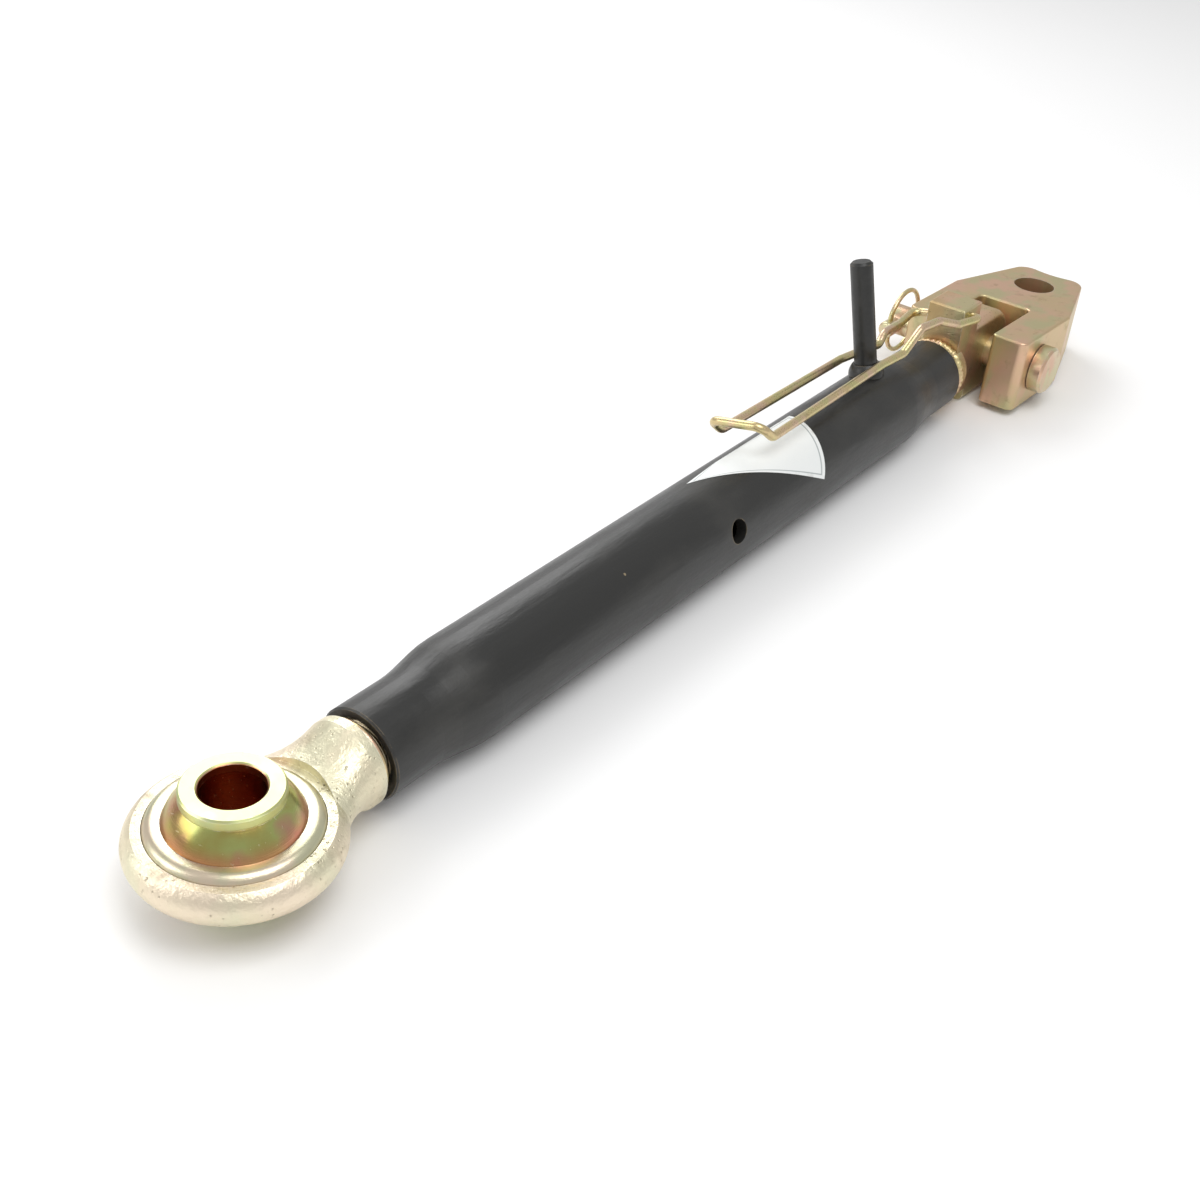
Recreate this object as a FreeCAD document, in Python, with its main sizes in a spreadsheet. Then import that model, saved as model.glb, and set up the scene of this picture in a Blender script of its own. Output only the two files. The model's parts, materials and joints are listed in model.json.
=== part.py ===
"""Adjustable tractor top link with a swivel-ball end and a hinged knuckle end.

Millimetres. The origin is the centre of the swivel ball, +X runs along the barrel to the
knuckle end, +Z is up along the ball's bore. The barrel is a turnbuckle: a right-hand screw
carries the ball end, a left-hand screw carries the knuckle end, and a wire bail on the
knuckle straddles the barrel's welded handle and stops the barrel from turning.
"""
import FreeCAD, Part
import math
import os

import Sketcher

from FreeCAD import Vector

doc = FreeCAD.newDocument("top_link")

# ---------------------------------------------------------------- driving dimensions
SIZES = [
    # swivel ball and its race
    ("ball_bore_d", 25.7, "bore for a 25.4 mm (category 2) pin"),
    ("ball_width", 51.0, "ball across its two end faces"),
    ("ball_sphere_d", 58.2, "sphere of the ball"),
    ("ball_collar_d", 40.2, "flat end faces of the ball"),
    ("ball_chamfer", 0.8, "edge break at the ball's bore and rims"),
    ("race_clearance", 0.05, "running clearance between ball and race"),
    ("race_od", 68.4, "outside of the race, pressed into the eye"),
    ("race_height", 21.2, "race over both lips"),
    ("race_shoulder", 4.2, "rounding of the race's outer shoulders"),
    # ball end forging
    ("eye_od", 84.8, "eye over its flash line"),
    ("eye_face_d", 76.0, "eye's flat faces"),
    ("eye_thickness", 15.6, "eye across its flat faces"),
    ("eye_edge", 0.6, "edge break around the eye's bore"),
    ("stub_d", 40.8, "round end of the forged neck"),
    ("stub_x", 60.3, "end face of the forged neck"),
    ("stub_length", 4.5, "straight part of the forged neck"),
    ("waist_x", 43.0, "place of the neck's middle section"),
    ("waist_width", 44.4, "neck's width at the middle section"),
    ("waist_height", 27.0, "neck's height at the middle section"),
    ("root_x", 27.0, "place of the neck's root section in the eye"),
    ("root_width", 62.0, "neck's width at the root section"),
    ("root_height", 22.0, "neck's height at the root section"),
    # barrel
    ("mouth_x", 65.3, "barrel's mouth at the ball end"),
    ("barrel_length", 485.2, "barrel over both mouths"),
    ("barrel_d", 50.2, "barrel's body"),
    ("barrel_wall", 6.0, "wall of the barrel's body"),
    ("neck_d", 42.6, "swaged necks of the barrel"),
    ("neck_length", 33.0, "straight part of each neck"),
    ("swage_length", 22.0, "taper from neck to body"),
    ("swage_blend_r", 60.0, "rounding where a taper meets neck and body"),
    ("mouth_chamfer", 2.4, "countersink at each mouth"),
    ("rim_chamfer", 0.8, "edge break around each mouth"),
    ("barrel_roll", 13.0, "turn of the barrel on its screws"),
    ("tommy_hole_d", 12.5, "cross hole for a tommy bar"),
    ("tommy_hole_x", 306.3, "place of the cross hole"),
    ("tommy_hole_angle", 84.4, "cross hole's turn from the handle"),
    # handle
    ("handle_d", 12.8, "round handle bar"),
    ("handle_top", 89.1, "handle's end, from the barrel's axis"),
    ("handle_x", 477.7, "place of the handle"),
    ("handle_chamfer", 1.4, "edge break at the handle's end"),
    ("weld_leg", 3.6, "handle's fillet weld, out along the barrel"),
    ("weld_rise", 6.0, "handle's fillet weld, up the bar"),
    # screws
    ("screw_d", 30.0, "both screws over their threads"),
    ("screw_length", 150.0, "each screw, from its end piece into the barrel"),
    ("screw_clearance", 0.05, "radial clearance of a screw in its neck"),
    ("screw_chamfer", 2.0, "lead-in at each screw's free end"),
    ("bead_height", 3.6, "weld bead between neck forging and screw"),
    ("bead_width", 3.6, "length of that bead along the screw"),
    # knuckle block
    ("block_gap", 9.3, "barrel's far mouth to the block"),
    ("block_length", 22.4, "bail tower along the link"),
    ("block_width", 23.6, "tower and tongue across the link"),
    ("tower_top", 41.3, "top of the tower, from the link's axis"),
    ("boss_d", 36.0, "round boss that takes the screw"),
    ("boss_length", 6.0, "straight part of the boss"),
    ("boss_taper", 7.0, "boss running out into the tongue"),
    ("pin_gap", 49.8, "block's front face to the hinge pin"),
    ("tongue_end_r", 25.4, "round end of the tongue about the pin"),
    ("tongue_edge_r", 4.5, "rounded rims of the tongue"),
    ("tower_edge", 1.2, "edge break around the tower's top"),
    ("tongue_foot_z", 17.0, "underside of the tongue at the boss"),
    ("knuckle_bead_height", 5.2, "weld bead between screw and block"),
    ("knuckle_bead_width", 6.0, "length of that bead along the screw"),
    # clevis head
    ("head_width", 79.5, "head over both ears"),
    ("head_height", 44.2, "head's thickness, top to underside"),
    ("slot_width", 34.0, "slot between the ears"),
    ("slot_corner_r", 4.0, "corners of the slot's floor"),
    ("slot_depth", 29.0, "slot's floor behind the hinge pin"),
    ("ear_front", 26.5, "ears' front faces ahead of the hinge pin"),
    ("head_bend", 38.0, "where the head's sides turn inwards"),
    ("head_hole_x", 71.0, "head's pin hole behind the hinge pin"),
    ("head_bore_d", 25.7, "head's bore for a 25.4 mm pin"),
    ("head_end", 104.0, "head's far end behind the hinge pin"),
    ("head_end_width", 41.0, "head's width at its far end"),
    ("head_end_r", 10.0, "corners of the far end"),
    ("head_notch", 5.0, "depth of the hollow in the far end"),
    ("head_corner_r", 5.0, "ears' outer front corners"),
    ("ear_lip_r", 3.2, "ears' inner front corners"),
    ("head_edge", 1.4, "edge break around the head's faces"),
    ("head_shift", 4.5, "head pushed to the right on its pin"),
    ("head_droop", 1.9, "droop of the head's far end, degrees"),
    # hinge pin and linch pin
    ("pin_d", 19.0, "hinge pin's shank"),
    ("pin_clearance", 0.05, "radial clearance of the hinge pin"),
    ("pin_head_d", 29.0, "hinge pin's head"),
    ("pin_head_height", 8.4, "thickness of the pin's head"),
    ("pin_play", 0.5, "end play under the pin's head"),
    ("pin_overhang", 20.8, "hinge pin beyond the left ear"),
    ("pin_chamfer", 1.5, "edge break at both ends of the pin"),
    ("linch_inset", 6.0, "linch pin's axis from the hinge pin's end"),
    ("linch_d", 7.8, "linch pin's shank"),
    ("linch_clearance", 0.1, "radial clearance of the linch pin"),
    ("linch_head_d", 10.4, "linch pin's head"),
    ("linch_head_length", 12.0, "length of the linch pin's head"),
    ("linch_seat", 0.8, "linch pin's head clear of the hinge pin"),
    ("linch_tip", 15.4, "linch pin's tip beyond the hinge pin's axis"),
    ("linch_tip_chamfer", 2.0, "taper at the linch pin's tip"),
    ("ring_r", 19.5, "linch ring, centre line radius"),
    ("ring_offset", 1.1, "ring's centre ahead of the hinge pin's axis"),
    ("ring_wire_d", 3.0, "linch ring's wire"),
    ("ring_clearance", 0.1, "radial room for the ring in the linch pin's head"),
    ("ring_end_gap", 1.6, "half the space between the ring's two ends"),
    # lock bail
    ("wire_d", 4.8, "bail's wire"),
    ("bail_hole_clearance", 0.1, "radial room for the bail in the block"),
    ("bail_hole_inset", 7.2, "bail's hole behind the block's front face"),
    ("bail_hole_drop", 7.6, "bail's hole below the tower's top"),
    ("bail_engage", 8.0, "depth of each bail end in the tower"),
    ("bail_bend_r", 6.0, "bends of the bail, centre line"),
    ("bail_reach", 212.0, "bail's closed end ahead of its hinge"),
    ("bail_spread", 31.0, "bail over its legs' centre lines at the closed end"),
    ("bail_waist", 27.0, "bail's legs beside the handle"),
    ("bail_lift", 8.5, "rise of the closed end"),
    ("bail_lift_run", 9.0, "length of that rise"),
    ("bail_near_stand", 28.0, "near leg's foot, out from the handle's plane"),
    ("bail_far_stand", 17.0, "far leg's foot, out from the handle's plane"),
    ("bail_hump", 10.0, "hump in the near leg"),
    ("bail_dip", 5.2, "dip in the far leg"),
]

sheet = doc.addObject("Spreadsheet::Sheet", "sizes")
for row, (alias, value, note) in enumerate(SIZES, start=1):
    sheet.set("A%d" % row, note)
    sheet.set("B%d" % row, str(value))
    sheet.setAlias("B%d" % row, alias)
doc.recompute()


def size(alias):
    """The value of one cell, for the pieces whose shape is set from Python."""
    return float(sheet.get(alias))


# ---------------------------------------------------------------- shared places
FAR_MOUTH = "(sizes.mouth_x + sizes.barrel_length)"
BLOCK_X = "(%s + sizes.block_gap)" % FAR_MOUTH
PIN_X = "(%s + sizes.pin_gap)" % BLOCK_X
BAIL_X = "(%s + sizes.bail_hole_inset)" % BLOCK_X
BAIL_Z = "(sizes.tower_top - sizes.bail_hole_drop)"
PIN_END_Y = "(sizes.head_width / 2 - sizes.head_shift + sizes.pin_overhang)"
PIN_SEAT_Y = "(sizes.head_width / 2 + sizes.head_shift + sizes.pin_play)"
LINCH_Y = "(%s - sizes.linch_inset)" % PIN_END_Y
LINCH_HEAD_END = "(sizes.pin_d / 2 + sizes.linch_seat)"


# ---------------------------------------------------------------- small helpers
def origin_plane(body, role):
    """The body's own origin plane with this role."""
    return next(item for item in body.Origin.OriginFeatures if item.Role == role)


def new_body(label):
    """An empty body whose label names its node."""
    body = doc.addObject("PartDesign::Body", label)
    body.Label = label
    return body


def new_sketch(body, name, role, offset=None):
    """A sketch on one of the body's origin planes, moved along the plane's normal by offset."""
    sketch = body.newObject("Sketcher::SketchObject", name)
    sketch.AttachmentSupport = [(origin_plane(body, role), "")]
    sketch.MapMode = "FlatFace"
    if offset:
        sketch.setExpression("AttachmentOffset.Base.z", offset)
    return sketch


def outline(sketch, points, bulges=None):
    """A closed outline whose corners are bound to the sheet.

    points is a list of (x expression, y expression), and each corner gets a horizontal and a
    vertical distance from the sketch's origin. bulges maps the number of a corner to the rise
    of the arc that leaves it, in place of a straight line; the arc lies to the left of its
    chord when the rise is positive.
    """
    doc.recompute()
    bulges = bulges or {}
    corners = [Vector(sketch_value(x), sketch_value(y), 0) for x, y in points]
    count = len(corners)
    for i, start in enumerate(corners):
        end = corners[(i + 1) % count]
        if i in bulges:
            chord = end.sub(start)
            left = Vector(-chord.y, chord.x, 0).normalize()
            top = start.add(end).multiply(0.5).add(left.multiply(sketch_value(bulges[i])))
            sketch.addGeometry(Part.Arc(start, top, end), False)
        else:
            sketch.addGeometry(Part.LineSegment(start, end), False)
    for i, rise in bulges.items():
        here, there = points[i], points[(i + 1) % count]
        across = "((%s) - (%s))" % (here[0], there[0])
        along = "((%s) - (%s))" % (here[1], there[1])
        half = "(sqrt(%s^2 + %s^2) / 2)" % (across, along)
        radius = "(%s^2 + (%s)^2) / (2 * abs(%s))" % (half, rise, rise)
        index = sketch.addConstraint(Sketcher.Constraint("Radius", i, sketch_value(radius)))
        sketch.setExpression("Constraints[%d]" % index, radius)
    ends = [arc_ends(sketch, i, corners[i]) for i in range(count)]
    for i in range(count):
        following = (i + 1) % count
        sketch.addConstraint(
            Sketcher.Constraint("Coincident", i, ends[i][1], following, ends[following][0]))
    for i, (x, y) in enumerate(points):
        pin_point(sketch, i, ends[i][0], x, y)


def arc_ends(sketch, geometry, start):
    """Which vertices of this line or arc are its first and last along the outline."""
    first = sketch.getPoint(geometry, 1)
    return (1, 2) if first.sub(start).Length < 1e-6 else (2, 1)


def pin_point(sketch, geometry, vertex, x, y):
    """Bind one vertex of the sketch to two expressions."""
    for kind, text in (("DistanceX", x), ("DistanceY", y)):
        index = sketch.addConstraint(
            Sketcher.Constraint(kind, -1, 1, geometry, vertex, sketch_value(text)))
        sketch.setExpression("Constraints[%d]" % index, text)


def circle(sketch, x, y, diameter):
    """A circle bound to the sheet; returns nothing."""
    doc.recompute()
    shape = Part.Circle(Vector(sketch_value(x), sketch_value(y), 0), Vector(0, 0, 1),
                        sketch_value(diameter) / 2)
    geometry = sketch.addGeometry(shape, False)
    pin_point(sketch, geometry, 3, x, y)
    index = sketch.addConstraint(Sketcher.Constraint("Diameter", geometry, sketch_value(diameter)))
    sketch.setExpression("Constraints[%d]" % index, diameter)


def sketch_value(text):
    """The present value of an expression on the sheet."""
    return float(sheet.evalExpression(text))


def extrude(body, kind, name, sketch, length, midplane=True):
    """A Pad or Pocket of this sketch, to both sides of it unless midplane is False."""
    feature = body.newObject("PartDesign::" + kind, name)
    feature.Profile = sketch
    feature.Midplane = midplane
    feature.setExpression("Length", length)
    body.Tip = feature
    doc.recompute()
    return feature


def spin(body, kind, name, sketch, axis):
    """A full Revolution or Groove of this sketch about one of the body's axes."""
    feature = body.newObject("PartDesign::" + kind, name)
    feature.Profile = sketch
    feature.ReferenceAxis = (next(a for a in body.Origin.OriginFeatures if a.Role == axis), [""])
    feature.Angle = 360
    body.Tip = feature
    doc.recompute()
    return feature


def dress(body, kind, name, chosen, length):
    """A Fillet or Chamfer on the edges of the body's tip for which chosen(edge) is true."""
    doc.recompute()
    base = body.Tip
    edges = ["Edge%d" % (i + 1) for i, edge in enumerate(base.Shape.Edges) if chosen(edge)]
    feature = body.newObject("PartDesign::" + kind, name)
    feature.Base = (base, edges)
    feature.setExpression("Radius" if kind == "Fillet" else "Size", length)
    body.Tip = feature
    doc.recompute()
    return feature


def is_circle(edge, radius):
    """Whether the edge is a circle or arc of this radius."""
    return hasattr(edge.Curve, "Radius") and abs(edge.Curve.Radius - radius) < 1e-4


def node_feature(label, shape):
    """A Part feature for a piece whose shape is worked out in Python."""
    feature = doc.addObject("Part::Feature", label)
    feature.Label = label
    feature.Shape = shape
    return feature


def rolled(body):
    """Turn a body with the barrel about the link's axis, so that its +Z follows the handle."""
    body.Placement = FreeCAD.Placement(body.Placement.Base,
                                       FreeCAD.Rotation(Vector(-1, 0, 0), 10))
    body.setExpression("Placement.Rotation.Angle", "sizes.barrel_roll")


def shifted(body, x, y="0"):
    """Put a body's origin at this place on the link's axis."""
    body.setExpression("Placement.Base.x", x)
    body.setExpression("Placement.Base.y", y)


def cylinder_along(body, kind, name, role, diameter, start, length, x="0", y="0"):
    """A round Pad or Pocket along the normal of one of the body's origin planes."""
    sketch = new_sketch(body, name + "Sketch", role, start)
    circle(sketch, x, y, diameter)
    return extrude(body, kind, name, sketch, length, midplane=False)


def bore_through(body, name, role, diameter, length, x="0", y="0"):
    """A round hole right through, to both sides of one of the body's origin planes."""
    sketch = new_sketch(body, name + "Sketch", role)
    circle(sketch, x, y, diameter)
    return extrude(body, "Pocket", name, sketch, length)


# ---------------------------------------------------------------- barrel with its handle
def barrel_tube():
    """A tube swaged down to two necks, threaded inside, with a cross hole for a tommy bar."""
    body = new_body("barrel_tube")
    neck = "(sizes.neck_d / 2)"
    outer = "(sizes.barrel_d / 2)"
    inner = "(sizes.barrel_d / 2 - sizes.barrel_wall)"
    bore = "(sizes.screw_d / 2 + sizes.screw_clearance)"

    def near(distance):
        return "(sizes.mouth_x + %s)" % distance

    def far(distance):
        return "(%s - %s)" % (FAR_MOUTH, distance)

    swaged = "(sizes.neck_length + sizes.swage_length)"
    rim = [("sizes.rim_chamfer", neck), ("sizes.neck_length", neck), (swaged, outer)]
    inside = [(swaged, inner), ("sizes.neck_length", bore), ("sizes.mouth_chamfer", bore)]
    points = [("sizes.mouth_x", neck + " - sizes.rim_chamfer")]
    points += [(near(x), r) for x, r in rim]
    points += [(far(x), r) for x, r in reversed(rim)]
    points += [(FAR_MOUTH, neck + " - sizes.rim_chamfer"),
               (FAR_MOUTH, bore + " + sizes.mouth_chamfer")]
    points += [(far(x), r) for x, r in reversed(inside)]
    points += [(near(x), r) for x, r in inside]
    points += [("sizes.mouth_x", bore + " + sizes.mouth_chamfer")]
    sketch = new_sketch(body, "BarrelProfile", "XZ_Plane")
    outline(sketch, points)
    spin(body, "Revolution", "BarrelTurned", sketch, "X_Axis")
    first = size("mouth_x") + size("neck_length")
    last = size("mouth_x") + size("barrel_length") - size("neck_length")

    def at_swage(edge):
        if not (is_circle(edge, size("neck_d") / 2) or is_circle(edge, size("barrel_d") / 2)):
            return False
        return first - 1e-3 < edge.BoundBox.Center.x < last + 1e-3

    dress(body, "Fillet", "SwageBlends", at_swage, "sizes.swage_blend_r")
    hole = new_sketch(body, "TommyHoleSketch", "XY_Plane")
    hole.AttachmentOffset = FreeCAD.Placement(Vector(0, 0, 0),
                                              FreeCAD.Rotation(Vector(1, 0, 0), 80))
    hole.setExpression("AttachmentOffset.Rotation.Angle", "sizes.tommy_hole_angle")
    circle(hole, "sizes.tommy_hole_x", "0", "sizes.tommy_hole_d")
    extrude(body, "Pocket", "TommyHole", hole, "sizes.barrel_d * 2")
    rolled(body)
    return body


def handle_bar():
    """A short round bar standing on the barrel, its foot coped to the barrel's round."""
    body = new_body("handle_bar")
    cylinder_along(body, "Pad", "Bar", "XY_Plane", "sizes.handle_d", "0", "sizes.handle_top")
    dress(body, "Chamfer", "BarEnd",
          lambda edge: is_circle(edge, size("handle_d") / 2) and edge.BoundBox.ZMin > 1,
          "sizes.handle_chamfer")
    bore_through(body, "BarCope", "YZ_Plane", "sizes.barrel_d", "sizes.handle_d * 4")
    shifted(body, "sizes.handle_x")
    rolled(body)
    return body


def handle_weld():
    """The fillet weld around the foot of the handle, coped to the barrel."""
    body = new_body("handle_weld")
    foot = "sizes.barrel_d / 2"
    bar = "sizes.handle_d / 2"
    sketch = new_sketch(body, "WeldProfile", "XZ_Plane")
    outline(sketch, [(bar, foot + " - sizes.weld_rise"),
                     (bar + " + sizes.weld_leg", foot + " - sizes.weld_rise"),
                     (bar + " + sizes.weld_leg", foot),
                     (bar + " + sizes.weld_leg / 4", foot + " + sizes.weld_rise"),
                     (bar, foot + " + sizes.weld_rise")],
            {2: "-sizes.weld_leg / 6"})
    spin(body, "Revolution", "WeldRing", sketch, "Z_Axis")
    bore_through(body, "WeldCope", "YZ_Plane", "sizes.barrel_d", "sizes.handle_d * 4")
    shifted(body, "sizes.handle_x")
    rolled(body)
    return body


# ---------------------------------------------------------------- ball end
def weld_ring(label, start, end, height):
    """A weld bead around a screw: a rounded ring from start to end along the link."""
    body = new_body(label)
    screw = "sizes.screw_d / 2"
    sketch = new_sketch(body, label + "_profile", "XZ_Plane")
    shoulder = "%s + %s * 2 / 3" % (screw, height)
    outline(sketch, [(start, screw), (start, shoulder), (end, shoulder), (end, screw)],
            {1: height + " / 3"})
    spin(body, "Revolution", label + "_ring", sketch, "X_Axis")
    return body


def screw(label, start, length, reverse):
    """A screw over its threads, from the face it is welded to into the barrel."""
    body = new_body(label)
    rod = cylinder_along(body, "Pad", label + "_rod", "YZ_Plane", "sizes.screw_d", start, length)
    rod.Reversed = reverse
    doc.recompute()
    shape = rod.Shape
    free = shape.BoundBox.XMin if reverse else shape.BoundBox.XMax
    dress(body, "Chamfer", label + "_lead",
          lambda edge: is_circle(edge, size("screw_d") / 2)
          and abs(edge.BoundBox.Center.x - free) < 1e-3, "sizes.screw_chamfer")
    return body


def eye_forging():
    """The forged eye with its belly, machined faces and the neck that runs to the screw."""
    body = new_body("eye_forging")
    face = "sizes.eye_thickness / 2"
    sketch = new_sketch(body, "EyeProfile", "XZ_Plane")
    outline(sketch, [("0", "-" + face), ("sizes.eye_face_d / 2", "-" + face),
                     ("sizes.eye_face_d / 2", face), ("0", face)],
            {1: "-(sizes.eye_od - sizes.eye_face_d) / 2"})
    spin(body, "Revolution", "EyeBelly", sketch, "Z_Axis")
    straight = "(sizes.stub_x - sizes.stub_length)"
    sections = []
    for name, place, width, height in (
            ("NeckRoot", "sizes.root_x", "sizes.root_width", "sizes.root_height"),
            ("NeckWaist", "sizes.waist_x", "sizes.waist_width", "sizes.waist_height"),
            ("NeckStub", straight, "sizes.stub_d", "sizes.stub_d")):
        section = new_sketch(body, name, "YZ_Plane", place)
        oval(section, width, height)
        sections.append(section)
    neck = body.newObject("PartDesign::AdditiveLoft", "Neck")
    neck.Profile = sections[0]
    neck.Sections = sections[1:]
    neck.Ruled = False
    body.Tip = neck
    doc.recompute()
    cylinder_along(body, "Pad", "Stub", "YZ_Plane", "sizes.stub_d", straight,
                   "sizes.stub_length")
    for name, reverse in (("UpperFace", False), ("LowerFace", True)):
        start = face if not reverse else "-" + face
        cut = cylinder_along(body, "Pocket", name, "XY_Plane", "sizes.eye_face_d", start,
                             "sizes.stub_d")
        cut.Reversed = not reverse
        doc.recompute()
    bore_through(body, "RaceSeat", "XY_Plane", "sizes.race_od", "sizes.stub_d * 2")
    return body


def oval(sketch, width, height):
    """An ellipse about the sketch's origin, level, with its width and height bound."""
    doc.recompute()
    wide = sketch_value(width) / 2
    high = sketch_value(height) / 2
    major = max(wide, high)
    minor = min(wide, high)
    if abs(major - minor) < 1e-9:
        minor = major * 0.999
    curve = Part.Ellipse(Vector(0, 0, 0), major, minor)
    geometry = sketch.addGeometry(curve, False)
    sketch.exposeInternalGeometry(geometry)
    sketch.addConstraint(Sketcher.Constraint("Coincident", geometry, 3, -1, 1))
    sketch.addConstraint(Sketcher.Constraint("Horizontal", geometry + 1))
    for line, text in ((geometry + 1, width), (geometry + 2, height)):
        value = sketch_value(text)
        index = sketch.addConstraint(Sketcher.Constraint("Distance", line, value))
        sketch.setExpression("Constraints[%d]" % index, text)
    doc.recompute()


def ball_race():
    """The race pressed into the eye: hollow to the ball, its outer shoulders rounded over."""
    body = new_body("ball_race")
    sketch = new_sketch(body, "RaceSketch", "XY_Plane")
    circle(sketch, "0", "0", "sizes.race_od")
    extrude(body, "Pad", "RaceBlank", sketch, "sizes.race_height")
    dress(body, "Fillet", "RaceShoulders", lambda edge: is_circle(edge, size("race_od") / 2),
          "sizes.race_shoulder")
    hollow = body.newObject("PartDesign::SubtractiveSphere", "BallSeat")
    hollow.AttachmentSupport = [(origin_plane(body, "XY_Plane"), "")]
    hollow.MapMode = "FlatFace"
    hollow.setExpression("Radius", "sizes.ball_sphere_d / 2 + sizes.race_clearance")
    body.Tip = hollow
    doc.recompute()
    return body


def swivel_ball():
    """The bored ball: a sphere with two flat collars, bored for the tractor's pin."""
    body = new_body("swivel_ball")
    ball = body.newObject("PartDesign::AdditiveSphere", "Sphere")
    ball.AttachmentSupport = [(origin_plane(body, "XY_Plane"), "")]
    ball.MapMode = "FlatFace"
    ball.setExpression("Radius", "sizes.ball_sphere_d / 2")
    body.Tip = ball
    doc.recompute()
    collar = new_sketch(body, "CollarSketch", "XY_Plane")
    circle(collar, "0", "0", "sizes.ball_collar_d")
    extrude(body, "Pad", "Collar", collar, "sizes.ball_width")
    slab = new_sketch(body, "EndSketch", "XY_Plane")
    circle(slab, "0", "0", "sizes.ball_sphere_d * 2")
    circle(slab, "0", "0", "sizes.ball_collar_d")
    for name, reverse in (("UpperEnd", False), ("LowerEnd", True)):
        sketch = new_sketch(body, name + "Sketch", "XY_Plane",
                            ("-" if reverse else "") + "sizes.ball_width / 2")
        circle(sketch, "0", "0", "sizes.ball_sphere_d * 2")
        cut = extrude(body, "Pocket", name, sketch, "sizes.ball_sphere_d", midplane=False)
        cut.Reversed = not reverse
        doc.recompute()
    doc.removeObject(slab.Name)
    bore_through(body, "BallBore", "XY_Plane", "sizes.ball_bore_d", "sizes.ball_width * 2")
    end = size("ball_width") / 2

    def at_end(edge):
        round_rim = is_circle(edge, size("ball_collar_d") / 2)
        round_bore = is_circle(edge, size("ball_bore_d") / 2)
        return (round_rim or round_bore) and abs(abs(edge.BoundBox.Center.z) - end) < 1e-3

    dress(body, "Chamfer", "BallEdges", at_end, "sizes.ball_chamfer")
    return body


# ---------------------------------------------------------------- knuckle end
def knuckle_block():
    """The forged knuckle: a tower for the bail, a boss for the screw and the tongue."""
    body = new_body("knuckle_block")
    back = "(%s + sizes.block_length)" % BLOCK_X
    tip = "sizes.tongue_end_r"
    tower = new_sketch(body, "TowerSketch", "XZ_Plane")
    outline(tower, [(BLOCK_X, "-sizes.tongue_foot_z"), (back, "-sizes.tongue_foot_z"),
                    (back, "-" + tip), (PIN_X, "-" + tip), (PIN_X, tip),
                    (back, tip), (back, "sizes.tower_top"), (BLOCK_X, "sizes.tower_top")])
    extrude(body, "Pad", "Tower", tower, "sizes.block_width")
    end = new_sketch(body, "TongueSketch", "XZ_Plane")
    circle(end, PIN_X, "0", "2 * sizes.tongue_end_r")
    extrude(body, "Pad", "Tongue", end, "sizes.block_width")
    dress(body, "Fillet", "TongueRim", lambda edge: is_circle(edge, size("tongue_end_r")),
          "sizes.tongue_edge_r")
    dress(body, "Fillet", "TowerEdges",
          lambda edge: edge.BoundBox.ZMin > size("tower_top") - 1e-3, "sizes.tower_edge")
    cylinder_along(body, "Pad", "Boss", "YZ_Plane", "sizes.boss_d", BLOCK_X,
                   "sizes.boss_length")
    taper_start = "(%s + sizes.boss_length)" % BLOCK_X
    taper = new_sketch(body, "BossTaperSketch", "XZ_Plane")
    outline(taper, [(taper_start, "0"), (taper_start + " + sizes.boss_taper", "0"),
                    (taper_start + " + sizes.boss_taper", "sizes.block_width / 2"),
                    (taper_start, "sizes.boss_d / 2")])
    spin(body, "Revolution", "BossTaper", taper, "X_Axis")
    bore_through(body, "PinBore", "XZ_Plane", "sizes.pin_d + 2 * sizes.pin_clearance",
                 "sizes.block_width * 2", PIN_X)
    hole = new_sketch(body, "BailHoleSketch", "XZ_Plane")
    hole.AttachmentOffset = FreeCAD.Placement(Vector(0, 0, 0),
                                              FreeCAD.Rotation(Vector(-1, 0, 0), 10))
    hole.setExpression("AttachmentOffset.Base.x", BAIL_X)
    hole.setExpression("AttachmentOffset.Base.y", BAIL_Z)
    hole.setExpression("AttachmentOffset.Rotation.Angle", "sizes.barrel_roll")
    circle(hole, "0", "0", "sizes.wire_d + 2 * sizes.bail_hole_clearance")
    extrude(body, "Pocket", "BailHole", hole, "sizes.block_width * 3")
    return body


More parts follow.
